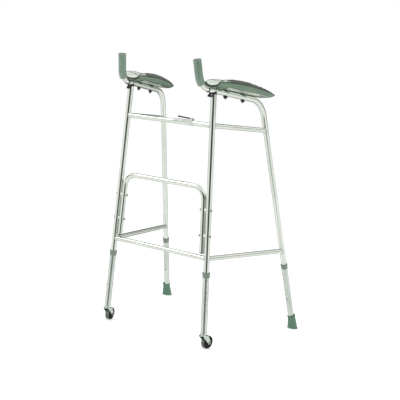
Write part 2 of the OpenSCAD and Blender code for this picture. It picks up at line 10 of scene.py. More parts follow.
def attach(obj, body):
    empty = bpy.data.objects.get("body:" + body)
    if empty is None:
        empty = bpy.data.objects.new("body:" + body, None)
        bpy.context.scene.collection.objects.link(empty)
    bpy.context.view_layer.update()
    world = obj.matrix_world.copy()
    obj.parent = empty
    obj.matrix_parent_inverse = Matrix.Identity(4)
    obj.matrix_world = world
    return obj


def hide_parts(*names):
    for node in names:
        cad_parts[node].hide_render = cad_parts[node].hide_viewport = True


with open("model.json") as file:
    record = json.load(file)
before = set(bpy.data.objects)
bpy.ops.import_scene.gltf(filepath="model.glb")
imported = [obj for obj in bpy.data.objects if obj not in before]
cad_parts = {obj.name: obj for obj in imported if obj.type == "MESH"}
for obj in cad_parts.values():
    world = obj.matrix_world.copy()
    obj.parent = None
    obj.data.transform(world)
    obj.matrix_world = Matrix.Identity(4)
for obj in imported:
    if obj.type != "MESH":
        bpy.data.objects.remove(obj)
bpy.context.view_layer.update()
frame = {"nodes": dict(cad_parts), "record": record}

MM = 0.001
SIDES = {"right": 1, "left": -1}
# the CAD's own dimensions, in millimetres and degrees
SIDE_X, ORIGIN_Y, FLARE, TILT = 313.0, 219.0, 9.5, 2.3
FRONT_FOOT_Y, FRONT_LEAN, REAR_FOOT_Y, REAR_RAKE = -447.0, 3.7, 156.0, 21.0
RAIL_Z, RAIL_RISE, RAIL_NOSE = 983.0, 3.0, 32.0
UPPER_Z, LOWER_Z = 855.0, 354.0
TUBE_R, BAR_R = 11.1, 9.5
GUTTER_Y, GUTTER_Z, GUTTER_PITCH = -338.0, 988.6, 2.5
GUTTER_LEN, GUTTER_W, GUTTER_H = 375.0, 92.0, 27.0
HANDLE_BEND_R, HANDLE_LEAN, HANDLE_TOP, HANDLE_OUT = 60.0, 16.5, 56.0, 2.0
GRIP_R, GRIP_SWEEP, GRIP_CAP = 15.0, 31.0, 4.0
WHEEL_R, WHEEL_W, TRAIL, SOCKET_MID = 25.5, 20.0, 27.0, 82.0


# ---- frames of reference ----
def turn(axis, degrees):
    return Matrix.Rotation(math.radians(degrees), 4, axis)


def shift(x, y, z):
    return Matrix.Translation((x * MM, y * MM, z * MM))


def mirrored(s):
    """The left side is the right side mirrored in X."""
    return Matrix.Diagonal((s, 1, 1, 1))


def side_frame(s):
    return mirrored(s) @ shift(SIDE_X, ORIGIN_Y, 0) @ turn("Z", -FLARE) @ turn("Y", -TILT)


def gutter_frame(s):
    return side_frame(s) @ shift(0, GUTTER_Y, GUTTER_Z) @ turn("X", -GUTTER_PITCH)


def upright_frame(s, point):
    """Vertical axes on the floor under a point of the right side frame, turned with the flare."""
    p = side_frame(1) @ (Vector(point) * MM)
    return mirrored(s) @ Matrix.Translation((p.x, p.y, 0)) @ turn("Z", -FLARE)


def castor_frame(s):
    lean = math.radians(FRONT_LEAN)
    return upright_frame(s, (0, FRONT_FOOT_Y - SOCKET_MID * math.sin(lean), SOCKET_MID * math.cos(lean)))


def leg_way(lean):
    """Direction of a leg that leans forward by lean degrees, in its side frame."""
    return Vector((0, -math.sin(math.radians(lean)), math.cos(math.radians(lean))))


def leg_point(foot_y, lean, z):
    """Point of a leg's centre line at height z, in its side frame."""
    return Vector((0, foot_y - z * math.tan(math.radians(lean)), z))


def rail_nose(extra=0.0):
    """Centre of the rail, extra millimetres past its open front end, as (along, up) in the side frame."""
    rise = math.radians(RAIL_RISE)
    out = RAIL_NOSE + extra
    rail_y = FRONT_FOOT_Y - RAIL_Z * math.tan(math.radians(FRONT_LEAN))
    return rail_y - out * math.cos(rise), RAIL_Z + out * math.sin(rise)


# ---- materials ----
COAT_ROUGHNESS, SHEEN_ROUGHNESS = 0.18, 0.45
CELL_EDGE, CELL_STRENGTH = 0.12, 0.35


def srgb(*c):
    return tuple(((v / 255 + 0.055) / 1.055) ** 2.4 if v > 10 else v / 255 / 12.92 for v in c)


def surface(name, colour, second, rough, wear=None, wear_amount=0.25, metallic=0.0, blotch=14.0, grain=700.0,
            bump=0.08, depth=0.0004, stretch=(1, 1, 1), coat=0.0, sheen=0.0, speckle=0.12, cells=0.0,
            cell_depth=0.0003, specular=0.5):
    """One procedural finish: two tones in soft blotches, fine grain, changing roughness, bump, worn spots.

    Colours are sRGB 0 to 255, scales are per metre and depths are in metres.
    """
    mat = bpy.data.materials.new(name)
    mat.use_nodes = True
    nodes, links = mat.node_tree.nodes, mat.node_tree.links
    bsdf = nodes["Principled BSDF"]
    coord = nodes.new("ShaderNodeTexCoord")
    mapping = nodes.new("ShaderNodeMapping")
    mapping.inputs["Scale"].default_value = stretch
    links.new(coord.outputs["Object"], mapping.inputs["Vector"])
    normal = None

    def noise(scale, detail, source):
        n = nodes.new("ShaderNodeTexNoise")
        n.inputs["Scale"].default_value = scale
        n.inputs["Detail"].default_value = detail
        links.new(source, n.inputs["Vector"])
        return n.outputs["Fac"]

    def span(value, low, high, out_low, out_high):
        m = nodes.new("ShaderNodeMapRange")
        m.inputs["From Min"].default_value = low
        m.inputs["From Max"].default_value = high
        m.inputs["To Min"].default_value = out_low
        m.inputs["To Max"].default_value = out_high
        links.new(value, m.inputs["Value"])
        return m.outputs["Result"]

    def mix(factor, a, b):
        m = nodes.new("ShaderNodeMix")
        m.data_type = "RGBA"
        links.new(factor, m.inputs["Factor"])
        for socket, value in ((m.inputs["A"], a), (m.inputs["B"], b)):
            if isinstance(value, tuple):
                socket.default_value = (*value, 1)
            else:
                links.new(value, socket)
        return m.outputs["Result"]

    def raised(height, strength, distance):
        nonlocal normal
        b = nodes.new("ShaderNodeBump")
        b.inputs["Strength"].default_value = strength
        b.inputs["Distance"].default_value = distance
        links.new(height, b.inputs["Height"])
        if normal is not None:
            links.new(normal, b.inputs["Normal"])
        normal = b.outputs["Normal"]

    main, other = srgb(*colour), srgb(*second)
    broad = noise(blotch, 3, coord.outputs["Object"])
    fine = noise(grain, 2, mapping.outputs["Vector"])
    patch = noise(blotch * 2.3, 4, coord.outputs["Object"])
    tone = mix(span(broad, 0.35, 0.65, 0, 1), main, other)
    tone = mix(span(fine, 0.45, 0.75, 0, speckle), tone, tuple(c * 0.72 for c in main))
    if wear:
        rub = noise(blotch * 5, 5, coord.outputs["Object"])
        tone = mix(span(rub, 0.6, 0.72, 0, wear_amount), tone, srgb(*wear))
    links.new(tone, bsdf.inputs["Base Color"])
    links.new(span(patch, 0.3, 0.7, rough[0], rough[1]), bsdf.inputs["Roughness"])
    raised(fine, bump, depth)
    raised(patch, bump * 0.5, depth * 6)
    if cells:
        v = nodes.new("ShaderNodeTexVoronoi")
        v.feature = "DISTANCE_TO_EDGE"
        v.inputs["Scale"].default_value = cells
        links.new(mapping.outputs["Vector"], v.inputs["Vector"])
        raised(span(v.outputs["Distance"], 0, CELL_EDGE, 0, 1), CELL_STRENGTH, cell_depth)
    links.new(normal, bsdf.inputs["Normal"])
    bsdf.inputs["Metallic"].default_value = metallic
    bsdf.inputs["Specular IOR Level"].default_value = specular
    if coat:
        bsdf.inputs["Coat Weight"].default_value = coat
        bsdf.inputs["Coat Roughness"].default_value = COAT_ROUGHNESS
    if sheen:
        bsdf.inputs["Sheen Weight"].default_value = sheen
        bsdf.inputs["Sheen Roughness"].default_value = SHEEN_ROUGHNESS
    return mat


# one finish for each material slot of the record
MATERIALS = {
    "anodised_tube": surface(
        "tube_polished", (232, 236, 229), (220, 225, 218), (0.07, 0.16), (168, 170, 166), 0.22, metallic=1,
        blotch=9, grain=900, bump=0.04, depth=0.0001, stretch=(1, 1, 12), speckle=0.05),
    "gutter_plastic": surface(
        "gutter_shell_green", (96, 124, 100), (86, 112, 91), (0.26, 0.42), (128, 150, 130),
        blotch=10, grain=1300, bump=0.16, coat=0.25),
    "pad_vinyl": surface(
        "pad_vinyl_grey", (170, 178, 168), (150, 158, 149), (0.42, 0.6), (196, 202, 192),
        blotch=16, grain=900, bump=0.10, sheen=0.15, cells=620),
    "grip_vinyl": surface(
        "grip_vinyl_green", (118, 142, 125), (104, 128, 111), (0.2, 0.32), (150, 168, 153),
        blotch=22, grain=1100, bump=0.1, depth=0.0003, coat=0.8),
    "foot_rubber": surface(
        "foot_rubber_green", (96, 134, 113), (84, 120, 101), (0.55, 0.78), (122, 140, 126),
        blotch=24, grain=1000, bump=0.2, depth=0.0006),
    "collar_plastic": surface(
        "collar_grey_green", (130, 144, 131), (116, 130, 118), (0.35, 0.5), (156, 166, 155),
        blotch=30, grain=1200, bump=0.14),
    "tyre": surface(
        "tyre_side", (16, 22, 17), (11, 16, 12), (0.5, 0.75), (58, 62, 56), 0.3,
        blotch=30, grain=1500, bump=0.25, depth=0.0006, specular=0.15),
    "dark_plastic": surface(
        "dark_plastic", (34, 38, 35), (26, 29, 27), (0.32, 0.5), (62, 64, 60),
        blotch=40, grain=1500, bump=0.14, depth=0.0003),
    "pale_plastic": surface(
        "pale_plastic", (214, 218, 212), (202, 206, 200), (0.3, 0.48), (180, 182, 176),
        blotch=30, grain=1200, bump=0.12, depth=0.0003),
    "plated_steel": surface(
        "fork_plated", (214, 224, 214), (198, 209, 199), (0.18, 0.34), (140, 140, 136), metallic=1,
        blotch=30, grain=1300, bump=0.08, depth=0.0003, speckle=0.1),
    "steel_fixings": surface(
        "fixing_steel", (178, 180, 176), (156, 158, 155), (0.25, 0.42), (92, 92, 88), metallic=1,
        blotch=60, grain=1600, bump=0.1, depth=0.0003, speckle=0.15),
}
SLEEVE = surface(
    "sleeve_satin", (222, 228, 223), (210, 216, 211), (0.26, 0.38), (160, 164, 160), metallic=1,
    blotch=12, grain=1000, bump=0.07, depth=0.0002, stretch=(1, 1, 10), speckle=0.08)
AXLE = surface(
    "axle_dark", (84, 86, 83), (64, 66, 63), (0.3, 0.45), (120, 120, 116), metallic=1,
    blotch=60, grain=1600, bump=0.1, depth=0.0003, speckle=0.15)
TREAD = surface(
    "tyre_tread", (128, 136, 127), (92, 99, 92), (0.6, 0.85), (60, 66, 60), 0.5,
    blotch=60, grain=1500, bump=0.25, depth=0.0006)
WELD = surface(
    "weld_bead", (206, 208, 204), (186, 188, 184), (0.28, 0.45), (140, 141, 137), metallic=1,
    blotch=60, grain=1200, bump=0.2, speckle=0.15)
# dark green of the rim bead and the pad's piping: partly a dark trim, partly painted shade of the gap under
# the pad's overhanging edge
EDGE_GREEN_AND_SHADE = surface(
    "gutter_edge_dark", (44, 58, 47), (36, 48, 39), (0.35, 0.55), (78, 92, 80),
    blotch=20, grain=1300, bump=0.15)
# painted highlight: the pad's front painted near white where a strong light falls on the grey vinyl
PAD_PAINTED_HIGHLIGHT = surface(
    "pad_vinyl_painted_highlight", (232, 237, 230), (220, 226, 218), (0.42, 0.6), (240, 243, 238),
    blotch=16, grain=900, bump=0.10, depth=0.0003, sheen=0.15, cells=1100, cell_depth=0.00012)
PAD_REAR = surface(
    "pad_vinyl_dark", (102, 111, 101), (88, 97, 88), (0.42, 0.6), (146, 154, 143),
    blotch=16, grain=900, bump=0.10, depth=0.0003, sheen=0.15, cells=1100, cell_depth=0.00015)

SLOT_OF = {part["node"]: part["material_slot"] for part in frame["record"]["subparts"]}
for node_name, node_object in frame["nodes"].items():
    finish = MATERIALS[SLOT_OF[node_name]]
    if node_name.startswith("sleeve"):
        finish = SLEEVE
    elif node_name.startswith("castor_axle"):
        finish = AXLE
    node_object.data.materials.clear()
    node_object.data.materials.append(finish)


# ---- mesh helpers ----
def edit_mesh(mesh, change):
    """Runs change(bm) on a bmesh copy of the mesh and writes it back."""
    bm = bmesh.new()
    bm.from_mesh(mesh)
    change(bm)
    bm.to_mesh(mesh)
    bm.free()


def merge_and_orient(bm):
    bmesh.ops.remove_doubles(bm, verts=bm.verts, dist=1e-6)
    bmesh.ops.recalc_face_normals(bm, faces=bm.faces)


def mark_sharp(bm, degrees):
    limit = math.radians(degrees)
    for edge in bm.edges:
        if len(edge.link_faces) == 2:
            edge.smooth = edge.calc_face_angle() < limit


def make(name, verts, faces, matrix, body, slot, material=None, replaces=(), smooth_angle=40):
    """A closed mesh in local millimetres, placed by matrix, riding on body."""
    mesh = bpy.data.meshes.new(name)
    mesh.from_pydata([matrix @ (Vector(v) * MM) for v in verts], [], faces)
    edit_mesh(mesh, merge_and_orient)
    obj = bpy.data.objects.new(name, mesh)
    bpy.context.scene.collection.objects.link(obj)
    mesh.materials.append(material or MATERIALS[slot])
    mesh.polygons.foreach_set("use_smooth", [True] * len(mesh.polygons))
    edit_mesh(mesh, lambda bm: mark_sharp(bm, smooth_angle))
    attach(obj, body)
    if replaces:
        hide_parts(*replaces)
    return obj


def rings_to_mesh(rings, cap_start=True, cap_end=True, loop=False):
    """Quads between rings of equal length; a capped end closes on its middle point."""
    verts = [p for ring in rings for p in ring]
    n = len(rings[0])
    faces = []
    spans = len(rings) if loop else len(rings) - 1
    for k in range(spans):
        a, b = k * n, ((k + 1) % len(rings)) * n
        for j in range(n):
            i = (j + 1) % n
            faces.append((a + j, a + i, b + i, b + j))
    for wanted, k in ((cap_start, 0), (cap_end, len(rings) - 1)):
        if wanted and not loop:
            middle = sum((Vector(p) for p in rings[k]), Vector()) / n
            verts.append(tuple(middle))
            faces += [(k * n + j, k * n + (j + 1) % n, len(verts) - 1) for j in range(n)]
    return verts, faces


def angles(n):
    return [2 * math.pi * j / n for j in range(n)]


def lathe(profile, n=64, shape=None, loop=False):
    """Rings about local Z from (radius, height) pairs; shape(angle, radius) scales the radius."""
    rings = []
    for r, z in profile:
        radii = [(a, r * (shape(a, r) if shape else 1)) for a in angles(n)]
        rings.append([(q * math.cos(a), q * math.sin(a), z) for a, q in radii])
    return rings_to_mesh(rings, loop=loop)


def sweep(points, radius, n=12, loop=False):
    """A round bead along points; radius may be a list with one value per point."""
    rings = []
    pts = [Vector(p) for p in points]
    last = len(pts) - 1
    normal = None
    for k, p in enumerate(pts):
        ahead = pts[(k + 1) % len(pts)] if loop or k < last else p
        behind = pts[k - 1] if loop or k > 0 else p
        tangent = (ahead - behind).normalized()
        if normal is None:
            normal = tangent.orthogonal().normalized()
        normal = (normal - tangent * normal.dot(tangent)).normalized()
        side = tangent.cross(normal)
        r = radius[k] if isinstance(radius, list) else radius
        rings.append([tuple(p + normal * (r * math.cos(a)) + side * (r * math.sin(a))) for a in angles(n)])
    return rings_to_mesh(rings, not loop, not loop, loop)


def joined(parts):
    verts, faces = [], []
    for v, f in parts:
        base = len(verts)
        verts += v
        faces += [tuple(i + base for i in face) for face in f]
    return verts, faces


# ---- the gutter's form: t runs from its front end to its rear, u across it from -1 to 1 ----
SHELL_THICK, SHELL_END = 3, 0.985
WIDEST_T, FRONT_WIDTH, TIP_WIDTH = 0.4, 0.84, 0.13
RIM_AT_ENDS = 0.62
UPTURN_T, UPTURN_H = 0.86, 14
SIDE_STEEPNESS = 1.3
RIM_STEPS = 3


def gutter_along(t):
    return GUTTER_LEN * (t - 0.5)


def half_width(t):
    front = FRONT_WIDTH + (1 - FRONT_WIDTH) * math.sin(math.pi / 2 * min(1, t / WIDEST_T))
    k = max(0, (t - WIDEST_T) / (1 - WIDEST_T))
    return GUTTER_W / 2 * front * (TIP_WIDTH + (1 - TIP_WIDTH) * math.sqrt(max(0, 1 - k ** 2.6)))


def rim_height(t):
    return GUTTER_H * (RIM_AT_ENDS + (1 - RIM_AT_ENDS) * math.sin(math.pi * t ** 0.8))


def keel(t):
    """Height of the trough's lowest line, which turns up at the rear tip."""
    return UPTURN_H * max(0, (t - UPTURN_T) / (1 - UPTURN_T)) ** 1.4


def flush(t):
    """The shell ends at its own rim."""
    return 0


def pad_top(t):
    """Height of the pad above the shell's rim, a little under the CAD's."""
    return 3.7 + 10 * math.sin(math.pi * t ** 0.58)


def section_point(t, u, inset, rise):
    """Point of the skin that lies inset millimetres inside the shell's outer skin."""
    w = max(2, half_width(t) - inset)
    low = keel(t) + inset
    high = rim_height(t) + rise
    return (w * math.sin(math.pi / 2 * u), gutter_along(t),
            low + (high - low) * (1 - math.cos(math.pi / 2 * u)) ** SIDE_STEEPNESS)


def round_rim(a, b, half):
    """The rounded rim between the outer point a and the inner point b, rising half the wall's thickness."""
    mid = [(p + q) / 2 for p, q in zip(a, b)]
    reach = (a[0] - b[0]) / 2
    turns = [math.pi * k / (RIM_STEPS + 1) for k in range(1, RIM_STEPS + 1)]
    return [(mid[0] + reach * math.cos(x), mid[1], mid[2] + half * math.sin(x)) for x in turns]


def trough(inset, thick, rise, start, end, stations=72, across=36):
    """A curved tray: outer skin, rounded rims, inner skin, closed at both ends."""
    rings = []
    half = thick / 2
    for k in range(stations + 1):
        t = start + (end - start) * k / stations
        top = rise(t) - half
        outer = [section_point(t, 2 * i / across - 1, inset, top) for i in range(across + 1)]
        inner = [section_point(t, 1 - 2 * i / across, inset + thick, top) for i in range(across + 1)]
        right_rim = round_rim(outer[-1], inner[0], half)
        left_rim = round_rim(inner[-1], outer[0], half)
        rings.append(outer + right_rim + inner + left_rim)
    verts, faces = rings_to_mesh(rings, False, False)
    n = len(rings[0])
    last_inner = n - RIM_STEPS - 1
    for e in (0, stations * n):
        for i in range(across):
            faces.append((e + i, e + i + 1, e + last_inner - 1 - i, e + last_inner - i))
        faces.append(tuple(e + across + i for i in range(RIM_STEPS + 2)))
        faces.append((*(e + last_inner + i for i in range(RIM_STEPS + 1)), e))
    return verts, faces


# ---- forearm gutters ----
EDGE_IN, EDGE_DOWN, EDGE_R = 1.2, -1.2, 1.9
LIP_IN, LIP_R, LIP_STEPS = 1.4, 2.5, 24


def edge_path(steps=64):
    """Points and radii of the thickened edge: along both rims, round the tip and across the front lip."""
    along = [SHELL_END * k / steps for k in range(steps + 1)]
    path = [section_point(t, 1, EDGE_IN, EDGE_DOWN) for t in along]
    path += [section_point(SHELL_END, u, EDGE_IN, EDGE_DOWN) for u in (0.6, 0.2, -0.2, -0.6)]
    path += [section_point(t, -1, EDGE_IN, EDGE_DOWN) for t in reversed(along)]
    lip = [section_point(0, 2 * i / LIP_STEPS - 1, LIP_IN, EDGE_DOWN) for i in range(1, LIP_STEPS)]
    return path + lip, [EDGE_R] * len(path) + [LIP_R] * len(lip)


def gutter_shells():
    verts, faces = trough(0, SHELL_THICK, flush, 0, SHELL_END)
    edge = sweep(*edge_path(), loop=True)
    for n, s in SIDES.items():
        make(f"gutter_shell_skin_{n}", verts, faces, gutter_frame(s), f"gutter_{n}", "gutter_plastic",
             replaces=[f"gutter_shell_{n}"])
        # the rim bead's dark green is partly painted shade under the pad's edge
        make(f"gutter_edge_{n}", *edge, gutter_frame(s), f"gutter_{n}", "gutter_plastic", EDGE_GREEN_AND_SHADE)


# ---- pads: foam under vinyl, blown up by a cloth simulation ----
PAD_THICK, PAD_INSET = 6.6, 3.9
PAD_START, PAD_END = 0.012, 0.93
PAD_SWELL, BACK_SWELL = 3.2, 0.3
PAD_VOXEL = 2.8
FOREARM_Z = 60
SIM_FRAMES = 20
SEAM_T, SEAM_FRONT = 0.46, 0.36
WELT_R, WELT_DOWN, WELT_LIFT = 1.25, 1.5, 0.1
SEAM_R, SEAM_LIFT = 0.9, -0.15


def swell(obj):
    """Moves the pad's skin as a cloth under inner pressure, by no more than the caps."""
    cloth = obj.modifiers.new("cloth", "CLOTH")
    cloth.settings.use_pressure = True
    cloth.settings.uniform_pressure_force = 4
    cloth.settings.quality = 6
    cloth.settings.mass = 0.3
    cloth.settings.tension_stiffness = 25
    cloth.settings.compression_stiffness = 25
    cloth.settings.bending_stiffness = 2
    cloth.settings.effector_weights.gravity = 0
    cloth.point_cache.frame_start = 1
    cloth.point_cache.frame_end = SIM_FRAMES
    rest = [v.co.copy() for v in obj.data.vertices]
    for f in range(1, SIM_FRAMES + 1):
        bpy.context.scene.frame_set(f)
    shown = obj.evaluated_get(bpy.context.evaluated_depsgraph_get())
    moved = [v.co.copy() for v in shown.data.vertices]
    obj.modifiers.remove(cloth)
    bpy.context.scene.frame_set(1)
    for v, a, b in zip(obj.data.vertices, rest, moved):
        step = b - a
        to_forearm = Vector((0, a.y, FOREARM_Z * MM)) - a
        cap = (PAD_SWELL if v.normal.dot(to_forearm) > 0 else BACK_SWELL) * MM
        if step.length > cap:
            step = step * (cap / step.length)
        v.co = a + step


def inflated(verts, faces):
    """The pad's form, remeshed evenly, swollen and smoothed, in local millimetres."""
    mesh = bpy.data.meshes.new("pad_blank")
    mesh.from_pydata([Vector(v) * MM for v in verts], [], faces)
    edit_mesh(mesh, lambda bm: bmesh.ops.recalc_face_normals(bm, faces=bm.faces))
    obj = bpy.data.objects.new("pad_blank", mesh)
    bpy.context.scene.collection.objects.link(obj)
    for other in bpy.context.selected_objects:
        other.select_set(False)
    obj.select_set(True)
    bpy.context.view_layer.objects.active = obj
    remesh = obj.modifiers.new("remesh", "REMESH")
    remesh.mode = "VOXEL"
    remesh.voxel_size = PAD_VOXEL * MM
    bpy.ops.object.modifier_apply(modifier="remesh")
    swell(obj)
    smooth = obj.modifiers.new("smooth", "SMOOTH")
    smooth.iterations = 4
    smooth.factor = 0.5
    bpy.ops.object.modifier_apply(modifier="smooth")
    skin = [tuple(v.co / MM) for v in obj.data.vertices], [tuple(p.vertices) for p in obj.data.polygons]
    bpy.data.objects.remove(obj)
    return skin


def seam_t(across):
    """Where the pad's pale front, a painted highlight on its grey vinyl, ends, for a place across the trough
    from -1 to 1.
    """
    return SEAM_T - SEAM_FRONT * min(1, across ** 8)


def on_skin(tree, point, lift=0.0):
    """The place on the pad's skin nearest to point, raised by lift millimetres."""
    place, normal, _, _ = tree.find_nearest(Vector(point) * MM)
    return tuple((place + normal * (lift * MM)) / MM)


def seam_path(tree, steps=48):
    path = []
    for i in range(steps + 1):
        u = 2 * i / steps - 1
        t = seam_t(math.sin(math.pi / 2 * u))
        above = section_point(t, u, PAD_INSET + PAD_THICK + 1.5, pad_top(t))
        path.append(on_skin(tree, above, SEAM_LIFT))
    return path


def welt_path(tree, steps=60, front_steps=24):
    """The piping's loop: along both sides of the pad and across its front end."""
    along = [PAD_START + 0.01 + (PAD_END - 0.02 - PAD_START) * k / steps for k in range(steps + 1)]
    line = [(t, 1) for t in along] + [(t, -1) for t in reversed(along)]
    path = []
    for t, u in line:
        path.append(on_skin(tree, section_point(t, u, PAD_INSET + 0.6, pad_top(t) - WELT_DOWN), WELT_LIFT))
    top = pad_top(PAD_START) - WELT_DOWN
    for i in range(2, front_steps - 1):
        path.append(on_skin(tree, section_point(PAD_START, 2 * i / front_steps - 1, PAD_INSET + 1.2, top)))
    return path


def pads():
    verts, faces = inflated(*trough(PAD_INSET, PAD_THICK, pad_top, PAD_START, PAD_END, 60, 30))
    tree = BVHTree.FromPolygons([Vector(v) * MM for v in verts], faces)
    welt = sweep(welt_path(tree), WELT_R, 10, True)
    seam = sweep(seam_path(tree), SEAM_R, 8)
    for n, s in SIDES.items():
        place = gutter_frame(s)
        # faces in front of the seam take the painted highlight, faces behind it the pad's own dark grey
        pad = make(f"forearm_pad_{n}", verts, faces, place, f"gutter_{n}", "pad_vinyl", PAD_PAINTED_HIGHLIGHT,
                   [f"gutter_pad_{n}"])
        pad.data.materials.append(PAD_REAR)
        inverse = place.inverted()
        for polygon in pad.data.polygons:
            x, y, _ = (inverse @ polygon.center) / MM
            t = y / GUTTER_LEN + 0.5
            polygon.material_index = int(t > seam_t(x / (half_width(t) - PAD_INSET)))
        rounded = pad.modifiers.new("round", "SUBSURF")
        rounded.levels = rounded.render_levels = 1
        # the piping's dark green is partly painted shade of the gap under the pad's edge
        make(f"pad_welt_{n}", *welt, place, f"gutter_{n}", "pad_vinyl", EDGE_GREEN_AND_SHADE)
        make(f"pad_seam_{n}", *seam, place, f"gutter_{n}", "pad_vinyl", PAD_REAR)


# ---- hand grips ----
FLUTES, FLUTE_DEPTH = 18, 0.028
FLUTED_R = GRIP_R - 0.25


def grip_path(bend_steps=16, straight_steps=40):
    """Centre line in the side frame as (along, up, heading), from the lower end of the grip to its top."""
    rise, lean = math.radians(RAIL_RISE), math.radians(HANDLE_LEAN)
    start = rail_nose(HANDLE_OUT)
    centre = (start[0] + HANDLE_BEND_R * math.sin(rise), start[1] + HANDLE_BEND_R * math.cos(rise))
    points = []
    for k in range(bend_steps + 1):
        a = math.radians(180 + HANDLE_LEAN + GRIP_SWEEP * (1 - k / bend_steps))
        points.append((centre[0] + HANDLE_BEND_R * math.cos(a), centre[1] + HANDLE_BEND_R * math.sin(a),
                       (math.sin(a), -math.cos(a))))
    y, z, _ = points[-1]
    heading = (-math.sin(lean), math.cos(lean))
    for k in range(1, straight_steps + 1):
        d = (HANDLE_TOP + GRIP_CAP) * k / straight_steps
        points.append((y + d * heading[0], z + d * heading[1], heading))
    return points


def grip_ring(station, along, r, fluted=0.0, n=144):
    """A ring of radius r, along millimetres past a station of the grip's path, with fluted grooves."""
    y, z, heading = station
    y, z = y + heading[0] * along, z + heading[1] * along
    ring = []
    for a in angles(n):
        q = r * (1 - fluted * 0.5 * (1 + math.cos(a * FLUTES)))
        ring.append((q * math.sin(a), y - q * math.cos(a) * heading[1], z + q * math.cos(a) * heading[0]))
    return ring


def grips():
    path = grip_path()
    last = len(path) - 1
    lower_end = ((9.55, 0.0), (13.6, 0.0), (14.6, 0.3), (15.0, 1.0), (15.0, 3.4), (14.4, 4.2))
    top_end = ((14.6, 5.2), (15.0, 4.6), (15.0, 2.6), (14.4, 1.2), (12.8, 0.35), (9.0, 0.05), (4.5, 0.0))
    rings = [grip_ring(path[0], along, r) for r, along in lower_end]
    for k in range(2, last - 2):
        fade = min(1, (k - 2) / 2, (last - 3 - k) / 2)
        rings.append(grip_ring(path[k], 0, FLUTED_R, FLUTE_DEPTH * fade))
    rings += [grip_ring(path[last], -back, r) for r, back in top_end]
    verts, faces = rings_to_mesh(rings, False, True)
    y, z, heading = path[0]
    verts.append((0, y + heading[0] * 0.5, z + heading[1] * 0.5))
    n = len(rings[0])
    faces += [(j, (j + 1) % n, len(verts) - 1) for j in range(n)]
    for name, s in SIDES.items():
        make(f"grip_fluted_{name}", verts, faces, side_frame(s), f"handle_{name}", "grip_vinyl",
             replaces=[f"grip_{name}"])


# ---- rubber feet ----
FLAT_SOLE_H, TIP_OVER_H = 5, 34


def foot_ring(r, w, n=72):
    """A ring of the foot, w millimetres up it: flat on the floor at its sole, square to the leg higher up."""
    way = leg_way(REAR_RAKE)
    y, z = way.y * w, way.z * w
    if w < FLAT_SOLE_H:
        y, z = y * w / FLAT_SOLE_H, w
    k = min(1, max(0, (w - FLAT_SOLE_H) / TIP_OVER_H))
    tip = math.radians(REAR_RAKE) * k * k * (3 - 2 * k)
    ring = []
    for a in angles(n):
        x, v = r * math.cos(a), r * math.sin(a)
        ring.append((x, y + v * math.cos(tip), max(0, z + v * math.sin(tip))))
    return ring


def feet():
    sole = [(5.0, 0.0), (5.6, 1.2), (9.0, 1.2), (9.6, 0.0),
            (13.6, 0.0), (14.2, 1.2), (17.4, 1.2), (18.0, 0.0)]
    outside = [(21.0, 0), (22.4, 0.4), (23.0, 1.4), (23.0, 4.6), (22.4, 5.6), (21.2, 6.4), (21.0, 8.0),
               (20.4, 14.0), (19.8, 20.0), (19.2, 26.0),
               (18.9, 27.0), (18.2, 27.6), (18.2, 29.4), (18.7, 30.0), (18.3, 34.0),
               (18.0, 35.0), (17.3, 35.6), (17.3, 37.4), (17.7, 38.0), (17.3, 42.0),
               (16.9, 43.0), (16.4, 43.6), (16.4, 45.4), (16.9, 46.0), (16.4, 56.0),
               (16.4, 59.0), (17.0, 60.0), (17.0, 64.0), (16.2, 65.6), (15.0, 66.0),
               (13.4, 65.8), (12.75, 65.0), (12.75, 30.0)]
    rings = [[(r * math.cos(a), r * math.sin(a), w) for a in angles(72)] for r, w in sole]
    rings += [foot_ring(r, w) for r, w in outside]
    verts, faces = rings_to_mesh(rings)
    for name, s in SIDES.items():
        make(f"foot_ribbed_{name}", verts, faces, upright_frame(s, (0, REAR_FOOT_Y, 0)), f"leg_rear_{name}",
             "foot_rubber", replaces=[f"rubber_foot_{name}"])


# ---- castors ----
HALF_W = WHEEL_W / 2
HUB_FACE = HALF_W - 2
GROOVES, GROOVE_IN = (5.0, 1.8, -1.4, -4.6), 0.8
LUGS, LUG_DEPTH, LUG_FROM_R = 36, 0.006, 24.9
TREAD_FROM_R = 24.2
SPOKES, SPOKE_HALF = 6, 0.9


def both_faces(profile):
    """A wheel's outline, with its far half mirrored from the near half."""
    return profile, [(r, -z) for r, z in reversed(profile)]


def tyre_mesh():
    near, far = both_faces([
        (17.0, HALF_W - 2), (18.0, HALF_W - 0.6), (19.4, HALF_W), (21.6, HALF_W), (22.6, HALF_W - 0.35),
        (23.6, HALF_W - 1.0), (24.6, HALF_W - 2.0), (25.3, HALF_W - 3.4)])
    crown = []
    for c in GROOVES:
        crown += [(WHEEL_R, c + 0.9), (WHEEL_R - GROOVE_IN, c + 0.5), (WHEEL_R - GROOVE_IN, c - 0.5),
                  (WHEEL_R, c - 0.9)]

    def lugs(a, r):
        return 1 - LUG_DEPTH * (0.5 + 0.5 * math.cos(LUGS * a)) if r > LUG_FROM_R else 1
    return lathe(near + crown + far, 96, lugs, loop=True)


def spoke(a, sign):
    """One web of the hub, at angle a, on the near side (1) or the far side (-1)."""
    outline = ((6.0, 3.6), (14.6, 3.6), (14.6, HUB_FACE - 1.4), (6.0, HUB_FACE - 0.6))
    verts = []
    for off in (-SPOKE_HALF, SPOKE_HALF):
        for r, z in outline:
            verts.append((r * math.cos(a) - off * math.sin(a), r * math.sin(a) + off * math.cos(a), z * sign))
    faces = [(0, 1, 2, 3), (4, 5, 6, 7)]
    faces += [(i, (i + 1) % 4, (i + 1) % 4 + 4, i + 4) for i in range(4)]
    return verts, faces


